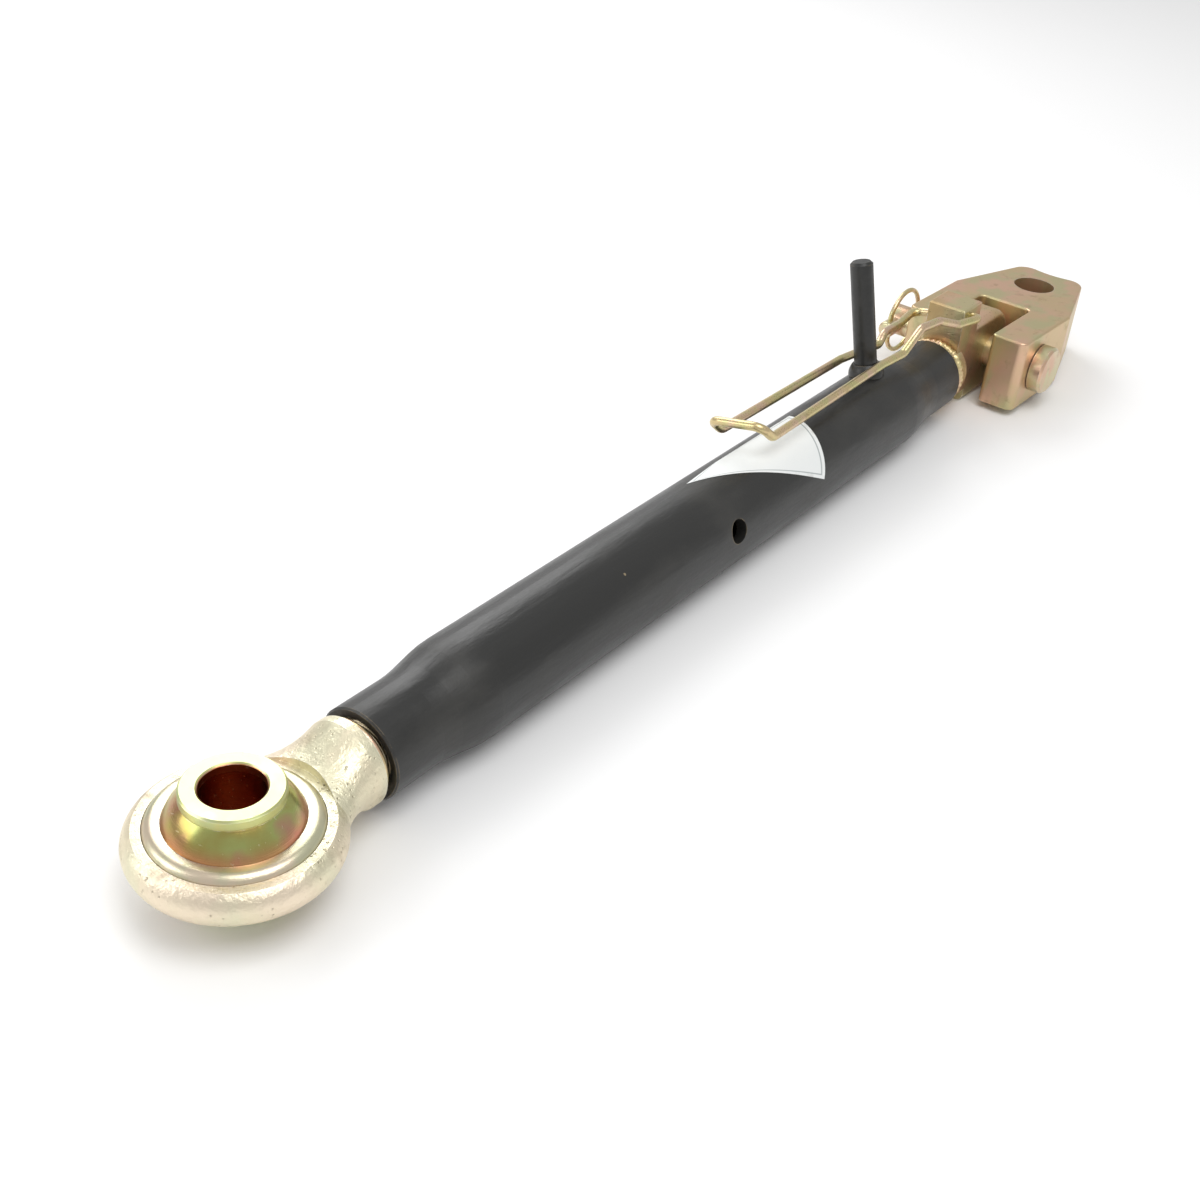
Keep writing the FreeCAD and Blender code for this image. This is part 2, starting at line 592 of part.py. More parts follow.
def knuckle_head():
    """The clevis: two ears astride the tongue, and a tapered body with the upright hole."""
    body = new_body("knuckle_head")
    side = "sizes.head_width / 2"
    end_side = "sizes.head_end_width / 2"
    sketch = new_sketch(body, "HeadPlan", "XY_Plane")
    outline(sketch, [("-sizes.ear_front", "-" + side), ("sizes.head_bend", "-" + side),
                     ("sizes.head_end", "-" + end_side), ("sizes.head_end", end_side),
                     ("sizes.head_bend", side), ("-sizes.ear_front", side)],
            {2: "sizes.head_notch"})
    extrude(body, "Pad", "HeadBlank", sketch, "sizes.head_height")

    def upright(edge):
        box = edge.BoundBox
        return box.XLength < 1e-3 and box.YLength < 1e-3

    def at_end_corner(edge):
        return upright(edge) and edge.BoundBox.XMin > size("head_end") - 1e-3

    def at_front_corner(edge):
        return upright(edge) and edge.BoundBox.XMin < 1e-3 - size("ear_front")

    dress(body, "Fillet", "EndCorners", at_end_corner, "sizes.head_end_r")
    dress(body, "Fillet", "FrontCorners", at_front_corner, "sizes.head_corner_r")
    slot = new_sketch(body, "SlotSketch", "XY_Plane")
    wall = "sizes.slot_width / 2"
    ahead = "-2 * sizes.ear_front"
    outline(slot, [(ahead, "-" + wall), ("sizes.slot_depth", "-" + wall),
                   ("sizes.slot_depth", wall), (ahead, wall)])
    extrude(body, "Pocket", "Slot", slot, "sizes.head_height * 2")

    def at_floor_corner(edge):
        return upright(edge) and abs(edge.BoundBox.XMin - size("slot_depth")) < 1e-3

    def at_lip(edge):
        inner = abs(abs(edge.BoundBox.YMin) - size("slot_width") / 2) < 1e-3
        return upright(edge) and inner and edge.BoundBox.XMin < 0

    dress(body, "Fillet", "SlotCorners", at_floor_corner, "sizes.slot_corner_r")
    dress(body, "Fillet", "EarLips", at_lip, "sizes.ear_lip_r")
    dress(body, "Fillet", "HeadEdges",
          lambda edge: edge.BoundBox.ZLength < 1e-3, "sizes.head_edge")
    bore_through(body, "HeadBore", "XY_Plane", "sizes.head_bore_d", "sizes.head_height * 2",
                 "sizes.head_hole_x")
    bore_through(body, "EarBore", "XZ_Plane", "sizes.pin_d + 2 * sizes.pin_clearance",
                 "sizes.head_width * 2")
    body.Placement = FreeCAD.Placement(Vector(0, 0, 0), FreeCAD.Rotation(Vector(0, 1, 0), 1))
    shifted(body, PIN_X, "-sizes.head_shift")
    body.setExpression("Placement.Rotation.Angle", "sizes.head_droop")
    return body


def hinge_pin():
    """The headed pin through ears and tongue, cross-drilled near its end."""
    body = new_body("hinge_pin")
    length = "%s + %s" % (PIN_END_Y, PIN_SEAT_Y)
    cylinder_along(body, "Pad", "Shank", "XZ_Plane", "sizes.pin_d", "-" + PIN_END_Y, length)
    cylinder_along(body, "Pad", "PinHead", "XZ_Plane", "sizes.pin_head_d", PIN_SEAT_Y,
                   "sizes.pin_head_height")
    last = sketch_value(PIN_END_Y)
    first = -sketch_value(PIN_SEAT_Y) - size("pin_head_height")

    def at_ends(edge):
        place = edge.BoundBox.Center.y
        return min(abs(place - last), abs(place - first)) < 1e-3

    dress(body, "Chamfer", "PinEnds", at_ends, "sizes.pin_chamfer")
    bore_through(body, "LinchHole", "YZ_Plane", "sizes.linch_d + 2 * sizes.linch_clearance",
                 "sizes.pin_d * 2", LINCH_Y)
    shifted(body, PIN_X)
    return body


def linch_pin():
    """The linch pin across the hinge pin, its head drilled for the ends of its ring."""
    body = new_body("linch_pin")
    cylinder_along(body, "Pad", "LinchShank", "YZ_Plane", "sizes.linch_d",
                   "-" + LINCH_HEAD_END, "sizes.linch_tip + " + LINCH_HEAD_END)
    dress(body, "Chamfer", "LinchTip",
          lambda edge: edge.BoundBox.XMin > size("linch_tip") - 1e-3,
          "sizes.linch_tip_chamfer")
    head = cylinder_along(body, "Pad", "LinchHead", "YZ_Plane", "sizes.linch_head_d",
                          "-" + LINCH_HEAD_END, "sizes.linch_head_length")
    head.Reversed = True
    doc.recompute()
    far = size("linch_head_length") + sketch_value(LINCH_HEAD_END)
    dress(body, "Fillet", "LinchCrown",
          lambda edge: edge.BoundBox.XMax < 1e-3 - far, "sizes.linch_tip_chamfer")
    bore_through(body, "RingHole", "XY_Plane",
                 "sizes.ring_wire_d + 2 * sizes.ring_clearance", "sizes.linch_head_d * 2",
                 "-(%s + sizes.linch_head_length / 2)" % LINCH_HEAD_END)
    shifted(body, PIN_X, LINCH_Y)
    return body


def swept_wire(path, start, direction, diameter):
    """A round wire along a path that leaves start in this direction."""
    section = Part.Wire(Part.Circle(start, direction, diameter / 2).toShape())
    shell = Part.BRepOffsetAPI.MakePipeShell(path)
    shell.add(section)
    shell.setTransitionMode(2)
    shell.build()
    shell.makeSolid()
    return shell.shape()


def linch_ring():
    """The snap ring: most of a circle, its two ends turned into the linch pin's head."""
    radius = size("ring_r")
    offset = size("ring_offset")
    hole_x = -sketch_value(LINCH_HEAD_END) - size("linch_head_length") / 2
    height = math.sqrt(radius ** 2 - (hole_x - offset) ** 2)
    tip = size("ring_end_gap")
    upper = Part.LineSegment(Vector(hole_x, 0, tip), Vector(hole_x, 0, height))
    loop = Part.Arc(Vector(hole_x, 0, height), Vector(offset + radius, 0, 0),
                    Vector(hole_x, 0, -height))
    lower = Part.LineSegment(Vector(hole_x, 0, -height), Vector(hole_x, 0, -tip))
    path = Part.Wire([piece.toShape() for piece in (upper, loop, lower)])
    shape = swept_wire(path, Vector(hole_x, 0, tip), Vector(0, 0, 1), size("ring_wire_d"))
    feature = node_feature("linch_ring", shape)
    feature.setExpression("Placement.Base.x", PIN_X)
    feature.setExpression("Placement.Base.y", LINCH_Y)
    return feature


def rounded_path(points, radius):
    """Straight runs through the points, joined by tangent arcs no larger than radius."""
    edges = []
    here = points[0]
    for before, corner, after in zip(points, points[1:], points[2:]):
        back = before.sub(corner)
        ahead = after.sub(corner)
        run = min(back.Length, ahead.Length)
        back.normalize()
        ahead.normalize()
        half_turn = (math.pi - back.getAngle(ahead)) / 2
        reach = min(radius * math.tan(half_turn), 0.45 * run)
        start = corner.add(Vector(back).multiply(reach))
        end = corner.add(Vector(ahead).multiply(reach))
        arc_radius = reach / math.tan(half_turn)
        inward = back.add(ahead).normalize()
        centre = corner.add(Vector(inward).multiply(math.hypot(reach, arc_radius)))
        middle = centre.sub(Vector(inward).multiply(arc_radius))
        edges.append(Part.LineSegment(here, start).toShape())
        edges.append(Part.Arc(start, middle, end).toShape())
        here = end
    edges.append(Part.LineSegment(here, points[-1]).toShape())
    return Part.Wire(edges)


def lock_bail():
    """The bent wire bail, drawn with +Z along the handle and +X along the link.

    Its ends are turned into the tower from both sides, its legs pass either side of the
    handle, and its closed end is turned up as a finger grip.
    """
    roll = math.radians(size("barrel_roll"))
    hinge_x = sketch_value(BAIL_X)
    hinge_z = sketch_value(BAIL_Z) * math.cos(roll)
    middle = -sketch_value(BAIL_Z) * math.sin(roll)
    half_hole = size("block_width") / 2 / math.cos(roll)
    engage = half_hole - size("bail_engage")
    spread = size("bail_spread") / 2
    waist = size("bail_waist") / 2
    reach = size("bail_reach")
    lift = size("bail_lift")
    hump = size("bail_hump")
    handle_run = hinge_x - size("handle_x")
    near = size("bail_near_stand")
    far = size("bail_far_stand")
    grip = reach + size("bail_lift_run")
    legs = [
        # distance from the hinge, side, rise above the hinge
        (0, middle - engage, 0), (0, -near, 0),
        (0.25 * handle_run, -near + 4, hump * 0.2), (0.44 * handle_run, -waist - 7, hump * 0.9),
        (0.64 * handle_run, -waist - 5, hump), (0.83 * handle_run, -waist - 2, 0),
        (1.05 * handle_run, -waist, 0), (reach, -spread, 0),
        (grip, -spread, lift), (grip, spread, lift), (reach, spread, 0),
        (1.05 * handle_run, waist, 0), (0.72 * handle_run, waist, -size("bail_dip") * 0.6),
        (0.56 * handle_run, waist, -size("bail_dip")), (0.48 * handle_run, waist, 0),
        (0.25 * handle_run, waist + 1, -1), (0, far, 0), (0, middle + engage, 0),
    ]
    points = [Vector(hinge_x - run, side, hinge_z + rise) for run, side, rise in legs]
    path = rounded_path(points, size("bail_bend_r"))
    start = points[1].sub(points[0])
    shape = swept_wire(path, points[0], start, size("wire_d"))
    feature = node_feature("lock_bail", shape)
    rolled(feature)
    return feature


# ---------------------------------------------------------------- the whole link
pieces = [
    barrel_tube(),
    handle_bar(),
    handle_weld(),
    eye_forging(),
    screw("eye_screw", "sizes.stub_x", "sizes.screw_length", False),
    weld_ring("ball_end_weld", "sizes.stub_x", "sizes.stub_x + sizes.bead_width",
              "sizes.bead_height"),
    ball_race(),
    swivel_ball(),
    screw("knuckle_screw", BLOCK_X, "sizes.screw_length", True),
    weld_ring("knuckle_weld", BLOCK_X + " - sizes.knuckle_bead_width", BLOCK_X,
              "sizes.knuckle_bead_height"),
    knuckle_block(),
    knuckle_head(),
    hinge_pin(),
    linch_pin(),
    linch_ring(),
    lock_bail(),
]
doc.recompute()

for item in doc.Objects:
    if "Invalid" in item.State or "Error" in item.State:
        raise RuntimeError("%s did not build: %s" % (item.Label, item.State))
for piece in pieces:
    if piece.Shape.isNull() or not piece.Shape.isValid() or piece.Shape.Volume <= 0:
        raise RuntimeError("%s has no good shape" % piece.Label)

os.makedirs("parts", exist_ok=True)
for piece in pieces:
    piece.Shape.exportStep(os.path.join("parts", piece.Label + ".step"))
    box = piece.Shape.BoundBox
    print("%-14s %9.0f mm3  %d solid  x %.1f..%.1f  y %.1f..%.1f  z %.1f..%.1f" % (
        piece.Label, piece.Shape.Volume, len(piece.Shape.Solids),
        box.XMin, box.XMax, box.YMin, box.YMax, box.ZMin, box.ZMax))
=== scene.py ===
"""The finish and fine forms of an adjustable tractor top link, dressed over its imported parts.

Everything is in metres in the parts' own frame: the origin is the centre of the swivel ball,
+X runs along the barrel to the knuckle end and +Z is up along the ball's bore.
"""
import json
import logging
import math
from dataclasses import dataclass, field
from enum import Enum
from typing import Any, Callable

import bpy
import numpy as np
from mathutils import Euler, Matrix, Vector


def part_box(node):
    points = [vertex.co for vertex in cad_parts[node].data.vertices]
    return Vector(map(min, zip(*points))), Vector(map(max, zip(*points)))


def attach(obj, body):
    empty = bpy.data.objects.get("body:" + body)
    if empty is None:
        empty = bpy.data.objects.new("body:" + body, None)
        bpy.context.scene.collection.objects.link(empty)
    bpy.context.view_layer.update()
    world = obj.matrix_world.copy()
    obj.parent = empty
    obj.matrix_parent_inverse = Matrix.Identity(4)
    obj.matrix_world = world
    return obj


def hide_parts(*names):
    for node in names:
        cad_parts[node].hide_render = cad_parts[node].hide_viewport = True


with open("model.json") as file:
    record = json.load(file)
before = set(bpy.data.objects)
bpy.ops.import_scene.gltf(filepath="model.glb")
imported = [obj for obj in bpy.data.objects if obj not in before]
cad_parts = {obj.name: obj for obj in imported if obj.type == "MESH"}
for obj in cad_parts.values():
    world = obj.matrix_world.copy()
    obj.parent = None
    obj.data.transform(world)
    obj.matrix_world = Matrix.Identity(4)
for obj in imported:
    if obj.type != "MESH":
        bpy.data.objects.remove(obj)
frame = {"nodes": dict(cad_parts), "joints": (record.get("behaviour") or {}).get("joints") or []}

LOG = logging.getLogger("top_link")
MM = 0.001
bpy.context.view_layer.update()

Colour = tuple[float, float, float]


# ------------------------------------------------------------------ places taken from the frame
def corners(node: str) -> tuple[np.ndarray, np.ndarray]:
    """Lowest and highest corners of a CAD node at rest.

    Args:
        node: the node's name.

    Returns:
        The two corners, in metres.
    """
    low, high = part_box(node)
    return np.array(low), np.array(high)


def joint(name: str) -> dict[str, Any]:
    """The record's entry for one joint.

    Args:
        name: the joint's name.

    Returns:
        The joint's facts: its place, axis and range.
    """
    return next(entry for entry in frame["joints"] if entry["name"] == name)


# ------------------------------------------------------------------ shader arithmetic
class Wire:
    """A shader socket that takes part in arithmetic as if it were a number."""

    def __init__(self, shader: "Shader", socket: Any) -> None:
        """Wrap one output socket of the shader's tree."""
        self.shader = shader
        self.socket = socket

    def _math(self, operation: str, first: Any, second: Any) -> "Wire":
        """One Math node on two numbers or wires."""
        return self.shader.node("ShaderNodeMath", {"operation": operation}, {0: first, 1: second})

    def __add__(self, other: Any) -> "Wire":
        """self + other."""
        return self._math("ADD", self, other)

    __radd__ = __add__

    def __sub__(self, other: Any) -> "Wire":
        """self - other."""
        return self._math("SUBTRACT", self, other)

    def __rsub__(self, other: Any) -> "Wire":
        """other - self."""
        return self._math("SUBTRACT", other, self)

    def __mul__(self, other: Any) -> "Wire":
        """self * other."""
        return self._math("MULTIPLY", self, other)

    __rmul__ = __mul__

    def __truediv__(self, other: Any) -> "Wire":
        """self / other."""
        return self._math("DIVIDE", self, other)

    def __pow__(self, other: Any) -> "Wire":
        """self to the power of other."""
        return self._math("POWER", self, other)

    def at_least(self, other: Any) -> "Wire":
        """The larger of self and other."""
        return self._math("MAXIMUM", self, other)

    def at_most(self, other: Any) -> "Wire":
        """The smaller of self and other."""
        return self._math("MINIMUM", self, other)

    def span(self, low: float, high: float, bottom: float = 0.0, top: float = 1.0) -> "Wire":
        """Smoothly map low..high to bottom..top, held at both ends."""
        settings = {"interpolation_type": "SMOOTHSTEP"}
        return self.shader.node("ShaderNodeMapRange", settings,
                                {0: self, 1: low, 2: high, 3: bottom, 4: top})


class Shader:
    """One material and the few ways in which its nodes are made."""

    def __init__(self, name: str) -> None:
        """Make an empty node material with one Principled shader."""
        self.material = bpy.data.materials.new(name)
        self.material.use_nodes = True
        self.tree = self.material.node_tree
        self.tree.nodes.clear()
        self.output = self.tree.nodes.new("ShaderNodeOutputMaterial")
        self.surface = self.tree.nodes.new("ShaderNodeBsdfPrincipled")
        self.tree.links.new(self.surface.outputs[0], self.output.inputs[0])
        self.place = self.node("ShaderNodeTexCoord", {}, {}, "Object")

    def node(self, kind: str, settings: dict[str, Any], inputs: dict[Any, Any],
             output: Any = 0) -> Wire:
        """Add any node.

        Args:
            kind: the node's type.
            settings: attributes set before the sockets; "stops" fills a colour ramp.
            inputs: socket names or numbers to values or wires.
            output: name or number of the output that is returned.

        Returns:
            The wire from that output.
        """
        made = self.tree.nodes.new(kind)
        for key, value in settings.items():
            if key == "stops":
                self._stops(made.color_ramp, value)
            else:
                setattr(made, key, value)
        for key, value in inputs.items():
            self.feed(made.inputs[key], value)
        return Wire(self, made.outputs[output])

    def feed(self, socket: Any, value: Any) -> None:
        """Link a wire to a socket, or set a plain value on it."""
        if isinstance(value, Wire):
            self.tree.links.new(value.socket, socket)
        elif socket.type == "RGBA" and len(value) == 3:
            socket.default_value = (*value, 1.0)
        else:
            socket.default_value = value

    @staticmethod
    def _stops(ramp: Any, stops: list[tuple[float, Colour]]) -> None:
        """Give a colour ramp these places and colours."""
        while len(ramp.elements) < len(stops):
            ramp.elements.new(0.5)
        for element, (where, colour) in zip(ramp.elements, stops):
            element.position = where
            element.color = (*colour, 1.0)

    def noise(self, scale: float, detail: float = 3.0, where: Any = None,
              rough: float = 0.5) -> Wire:
        """Fractal noise from 0 to 1, with scale cells a metre."""
        return self.node("ShaderNodeTexNoise", {},
                         {"Vector": where or self.place, "Scale": scale, "Detail": detail,
                          "Roughness": rough}, "Fac")

    def cells(self, scale: float, where: Any = None, feature: str = "F1") -> Wire:
        """Distance to the nearest of scattered points, with scale cells a metre."""
        return self.node("ShaderNodeTexVoronoi", {"feature": feature},
                         {"Vector": where or self.place, "Scale": scale}, "Distance")

    def stretched(self, x: float, y: float, z: float) -> Wire:
        """Object coordinates stretched along each axis."""
        return self.node("ShaderNodeMapping", {}, {"Vector": self.place, "Scale": (x, y, z)})

    def axis(self, index: int) -> Wire:
        """One of the object coordinates: 0, 1 or 2 for X, Y or Z."""
        return self.node("ShaderNodeSeparateXYZ", {}, {0: self.place}, index)

    def blend(self, amount: Any, first: Any, second: Any) -> Wire:
        """Mix two colours by amount."""
        return self.node("ShaderNodeMix", {"data_type": "RGBA"},
                         {"Factor": amount, "A": first, "B": second}, 2)

    def ramp(self, value: Wire, stops: list[tuple[float, Colour]]) -> Wire:
        """A colour ramp on value."""
        return self.node("ShaderNodeValToRGB", {"stops": stops}, {0: value})

    def edge(self, radius: float) -> Wire:
        """1 on sharp edges and 0 on flat stretches.

        The normal averaged over radius leans away from the true normal at an edge, so one
        minus their dot product rises there.
        """
        soft = self.node("ShaderNodeBevel", {"samples": 6}, {"Radius": radius})
        sharp = self.node("ShaderNodeNewGeometry", {}, {}, "Normal")
        dot = self.node("ShaderNodeVectorMath", {"operation": "DOT_PRODUCT"},
                        {0: soft, 1: sharp}, "Value")
        return (1 - dot).span(0.01, 0.16)

    def bump(self, height: Wire, depth: float, under: Any = None) -> Wire:
        """A Bump node whose height of 1 stands depth metres proud."""
        inputs: dict[str, Any] = {"Height": height, "Distance": depth, "Strength": 1.0}
        if under is not None:
            inputs["Normal"] = under
        return self.node("ShaderNodeBump", {}, inputs)

    def finish(self, **sockets: Any) -> bpy.types.Material:
        """Feed the Principled shader's sockets, given by name with _ for a space."""
        for name, value in sockets.items():
            self.feed(self.surface.inputs[name.replace("_", " ")], value)
        return self.material


# ------------------------------------------------------------------ finishes
@dataclass(frozen=True)
class BlackPaint:
    """Thin black paint on drawn tube: satin, dusty in patches, chipped in a few places."""

    name: str = "black_paint"
    coat: Colour = (0.012, 0.012, 0.011)
    dust: Colour = (0.045, 0.043, 0.038)
    bare: Colour = (0.30, 0.24, 0.15)
    chips: tuple[tuple[float, float, float, float], ...] = ()

    def material(self) -> bpy.types.Material:
        """Build the paint.

        Returns:
            The material.
        """
        s = Shader(self.name)
        drawn = s.noise(60.0, 4.0, s.stretched(0.25, 1.0, 1.0))
        patches = s.noise(28.0, 5.0)
        specks = s.noise(900.0, 2.0)
        runs = s.noise(260.0, 3.0, s.stretched(0.12, 1.0, 1.0))
        dusty = (patches * 0.7 + drawn * 0.5).span(0.55, 0.85)
        colour = s.blend(dusty * 0.55, self.coat, self.dust)
        scuffs = s.cells(150.0, s.stretched(0.4, 1.0, 1.0)).span(0.05, 0.02)
        scuffs = scuffs * s.noise(20.0, 2.0).span(0.56, 0.66)
        colour = s.blend(scuffs * 0.5, colour, (0.12, 0.115, 0.1))
        wear = s.edge(0.0012) * s.noise(140.0, 3.0).span(0.42, 0.62)
        colour = s.blend(wear * 0.8, colour, self.bare)
        rough = 0.30 + 0.16 * dusty + 0.12 * specks + 0.1 * wear
        metal = wear * 0.6
        for x, y, z, radius in self.chips:
            away = s.node("ShaderNodeVectorMath", {"operation": "DISTANCE"},
                          {0: s.place, 1: (x, y, z)}, "Value")
            ragged = away + (s.noise(700.0, 3.0) - 0.5) * radius
            chip = ragged.span(radius, radius * 0.7)
            colour = s.blend(chip, colour, self.bare)
            metal = metal.at_least(chip * 0.5)
        normal = s.bump(specks, 0.00004)
        normal = s.bump(runs, 0.00016, normal)
        normal = s.bump(drawn, 0.0009, normal)
        return s.finish(Base_Color=colour, Roughness=rough, Metallic=metal, Normal=normal,
                        Specular_IOR_Level=0.55)


@dataclass(frozen=True)
class ZincPlate:
    """Passivated zinc: warm, pinkish and greenish by patches, brighter along edges, partly from
    worn plating and partly as a painted highlight.
    """

    name: str
    warm: Colour = (0.62, 0.47, 0.27)
    green: Colour = (0.53, 0.49, 0.27)
    pink: Colour = (0.68, 0.45, 0.31)
    bright: Colour = (0.85, 0.83, 0.74)
    grime: Colour = (0.16, 0.11, 0.055)
    rough: float = 0.34
    grain: float = 0.00005
    lumps: float = 0.0
    patch: float = 30.0
    edge: float = 0.0010
    lines: bool = False

    def material(self) -> bpy.types.Material:
        """Build the plating.

        Returns:
            The material.
        """
        s = Shader(self.name)
        tint = s.noise(self.patch, 3.0)
        colour = s.blend(tint.span(0.38, 0.62), self.pink, self.warm)
        other = s.noise(self.patch * 1.7, 3.0, s.stretched(1.0, 1.3, 0.7))
        colour = s.blend(other.span(0.44, 0.66) * 0.85, colour, self.green)
        stain = s.noise(self.patch * 3.0, 5.0, rough=0.6).span(0.55, 0.8)
        colour = s.blend(stain * 0.45, colour, self.grime)
        # Edges lighten towards bright: partly worn plating, partly a painted highlight where the
        # edges catch the light.
        edge = s.edge(self.edge) * s.noise(220.0, 3.0).span(0.3, 0.55)
        colour = s.blend(edge * 0.75, colour, self.bright)
        fine = s.noise(1400.0, 3.0)
        rough = self.rough + 0.14 * fine + 0.16 * stain - 0.08 * edge
        normal = s.bump(fine, self.grain)
        if self.lumps:
            coarse = s.noise(170.0, 5.0, rough=0.62)
            pits = s.cells(420.0).span(0.28, 0.05) * s.noise(70.0, 2.0).span(0.45, 0.6)
            colour = s.blend(pits * 0.5, colour, self.grime)
            normal = s.bump(coarse - pits * 0.35, self.lumps, normal)
        if self.lines:
            turned = s.noise(1.0, 2.0, s.stretched(120.0, 120.0, 2600.0))
            normal = s.bump(turned, 0.00006, normal)
        return s.finish(Base_Color=colour, Roughness=rough, Metallic=0.92, Normal=normal)


@dataclass(frozen=True)
class BallPlate:
    """Bright yellow passivation on the turned ball: green and straw outside, red in the bore; the
    round side's reds and greens are partly tint and partly painted reflection, and its edges are
    lightened partly by wear, partly as painted highlight.
    """

    name: str = "ball_plate"
    bore: float = 12.85 * MM

    def material(self) -> bpy.types.Material:
        """Build the ball's plating.

        Returns:
            The material.
        """
        s = Shader(self.name)
        radius = s.node("ShaderNodeVectorMath", {"operation": "LENGTH"},
                        {0: s.stretched(1.0, 1.0, 0.0)}, "Value")
        height = s.axis(2)
        drift = s.noise(45.0, 3.0)
        face = s.ramp(drift, [(0.30, (0.56, 0.62, 0.30)), (0.48, (0.66, 0.66, 0.30)),
                              (0.60, (0.60, 0.68, 0.36)), (0.74, (0.72, 0.58, 0.36))])
        # The round side's red, olive and green mix is partly the plating's tint and partly painted
        # reflection of the surroundings in its mirror-like face, and so is the redder band low on
        # the side, near the race.
        side_tint_and_reflection = s.ramp(drift * 0.9 + s.noise(14.0, 1.0) * 0.35,
                            [(0.34, (0.46, 0.20, 0.14)), (0.52, (0.40, 0.34, 0.10)),
                             (0.66, (0.42, 0.46, 0.16)), (0.80, (0.52, 0.26, 0.20))])
        high = (height * height) ** 0.5
        on_side = high.span(0.0218, 0.0208)
        colour = s.blend(on_side, face, side_tint_and_reflection)
        low_red_tint_and_reflection = high.span(0.017, 0.011)
        colour = s.blend(low_red_tint_and_reflection * on_side * 0.65, colour, (0.55, 0.20, 0.11))
        inside = radius.span(self.bore + 0.0004, self.bore + 0.0001)
        copper = s.ramp(s.noise(30.0, 2.0), [(0.35, (0.50, 0.13, 0.07)),
                                             (0.60, (0.58, 0.24, 0.10))])
        colour = s.blend(inside, colour, copper)
        scratch = s.noise(900.0, 2.0, s.stretched(1.0, 0.15, 0.6)).span(0.66, 0.74)
        # Edges lighten towards pale straw: partly worn plating, partly a painted highlight.
        edge = s.edge(0.0008) * s.noise(260.0, 2.0).span(0.4, 0.6)
        colour = s.blend(edge, colour, (0.85, 0.82, 0.70))
        colour = s.blend(scratch * 0.3, colour, (0.75, 0.7, 0.55))
        rough = 0.17 + 0.1 * s.noise(500.0, 2.0) + 0.15 * scratch + 0.08 * (1 - on_side)
        turned = s.noise(1.0, 2.0, s.stretched(60.0, 60.0, 3000.0))
        normal = s.bump(turned, 0.00003)
        return s.finish(Base_Color=colour, Roughness=rough, Metallic=1.0, Normal=normal)


@dataclass(frozen=True)
class LabelFilm:
    """A bare white film label with a thin grey border and a little dirt at its rim."""

    name: str = "label_film"
    white: Colour = (0.80, 0.82, 0.81)
    border: Colour = (0.42, 0.45, 0.45)
    inset: float = 0.028
    thick: float = 0.012

    def material(self) -> bpy.types.Material:
        """Build the film from the label's own map, whose two axes run from 0 to 1.

        Returns:
            The material.
        """
        s = Shader(self.name)
        where = s.node("ShaderNodeUVMap", {"uv_map": "flat"}, {})
        u = s.node("ShaderNodeSeparateXYZ", {}, {0: where}, 0)
        v = s.node("ShaderNodeSeparateXYZ", {}, {0: where}, 1)
        rim = u.at_most(1 - u).at_most(v.at_most(1 - v) * 0.8)
        line = rim.span(self.inset, self.inset + 0.004) * rim.span(
            self.inset + self.thick + 0.004, self.inset + self.thick)
        dirt = s.noise(120.0, 4.0).span(0.55, 0.75) * rim.span(0.05, 0.0)
        colour = s.blend(line, self.white, self.border)
        colour = s.blend(dirt * 0.6, colour, (0.3, 0.28, 0.24))
        wrinkle = s.noise(90.0, 2.0)
        return s.finish(Base_Color=colour, Roughness=0.32 + 0.1 * wrinkle,
                        Normal=s.bump(wrinkle, 0.0004))


class Plating(Enum):
    """The zinc finishes, by the way the piece under them was made."""

    FORGED = ZincPlate("zinc_forged", warm=(0.80, 0.72, 0.53), green=(0.74, 0.71, 0.52),
                       pink=(0.84, 0.72, 0.56), grime=(0.30, 0.25, 0.16), rough=0.33,
                       lumps=0.0009, patch=24.0)
    RACE = ZincPlate("zinc_turned_race", warm=(0.66, 0.60, 0.42), green=(0.58, 0.58, 0.40),
                     pink=(0.72, 0.60, 0.46), rough=0.24, lines=True, patch=40.0)
    MACHINED = ZincPlate("zinc_machined", rough=0.33)
    BLOCK = ZincPlate("zinc_block", warm=(0.56, 0.41, 0.21), rough=0.34, lumps=0.00025)
    PIN = ZincPlate("zinc_pin", warm=(0.66, 0.56, 0.38), green=(0.62, 0.60, 0.36),
                    rough=0.26, lines=False, patch=50.0)
    WIRE = ZincPlate("zinc_wire", warm=(0.64, 0.51, 0.27), green=(0.56, 0.53, 0.25),
                     pink=(0.66, 0.48, 0.34), rough=0.22, patch=60.0, edge=0.0004)
    WELD = ZincPlate("zinc_weld", warm=(0.72, 0.58, 0.30), green=(0.70, 0.62, 0.32),
                     rough=0.25, lumps=0.0005, patch=90.0)


def dress(piece: bpy.types.Object, finish: bpy.types.Material) -> None:
    """Give a piece or a carried-over node one material."""
    piece.data.materials.clear()
    piece.data.materials.append(finish)


